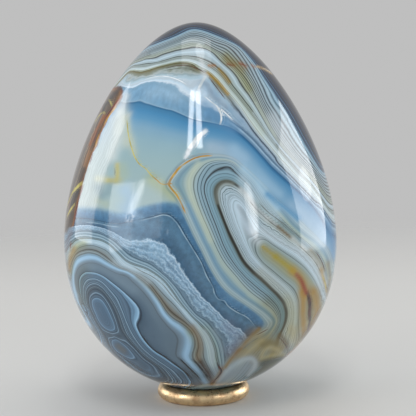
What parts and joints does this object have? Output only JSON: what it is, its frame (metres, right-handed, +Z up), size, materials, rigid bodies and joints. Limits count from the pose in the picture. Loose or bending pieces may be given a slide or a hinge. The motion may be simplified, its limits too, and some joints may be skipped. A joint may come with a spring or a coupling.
{
  "type": "decorative egg on stand",
  "caption": "Polished banded stone egg resting blunt end down in a round brass wire ring; a free-standing ornament whose egg lifts straight off its stand.",
  "frame": {"origin": "centre of the ring's foot, on the surface that it stands on", "axes": "+Z up along the shared axis of ring and egg; -Y is the side that the picture shows, with +X to its right"},
  "size_m": [0.0594, 0.0594, 0.0821],
  "materials": {
    "agate": "polished",
    "brass": "polished, lightly worn"
  },
  "bodies": {
    "stand": {"ring_stand": "brass"},
    "egg": {"agate_egg": "agate"}
  },
  "joints": [
    {"name": "egg_lift", "type": "slide", "parent": "stand", "child": "egg", "axis": [0, 0, 1], "range_m": [0, 0.06]}
  ]
}
